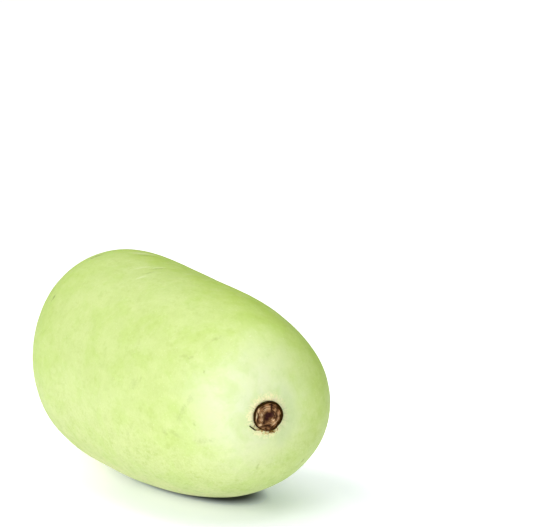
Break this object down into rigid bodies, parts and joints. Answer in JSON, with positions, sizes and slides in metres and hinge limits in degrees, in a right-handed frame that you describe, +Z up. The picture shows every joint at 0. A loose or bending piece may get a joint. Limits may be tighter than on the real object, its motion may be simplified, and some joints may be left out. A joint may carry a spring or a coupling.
{
  "type": "bottle gourd",
  "caption": "Short, blunt bottle gourd lying on its side, with a dried blossom scar at one end and a ribbed, cut stem stub at the other.",
  "frame": {"origin": "on the surface that the gourd rests on, under the middle of its bounding box", "axes": "+X along the length towards the blossom end, +Y to the side, +Z up"},
  "size_m": [0.1984, 0.0942, 0.1004],
  "materials": {
    "skin": "smooth pale yellow-green rind with a soft satin gloss",
    "dried_scar": "dry, wrinkled, corky brown scar with a near-black rim",
    "stalk": "ribbed green stalk with a dull, olive-brown cut face"
  },
  "bodies": {
    "root": {"fruit": "skin", "blossom_scar": "dried_scar", "stem": "stalk"}
  },
  "joints": []
}
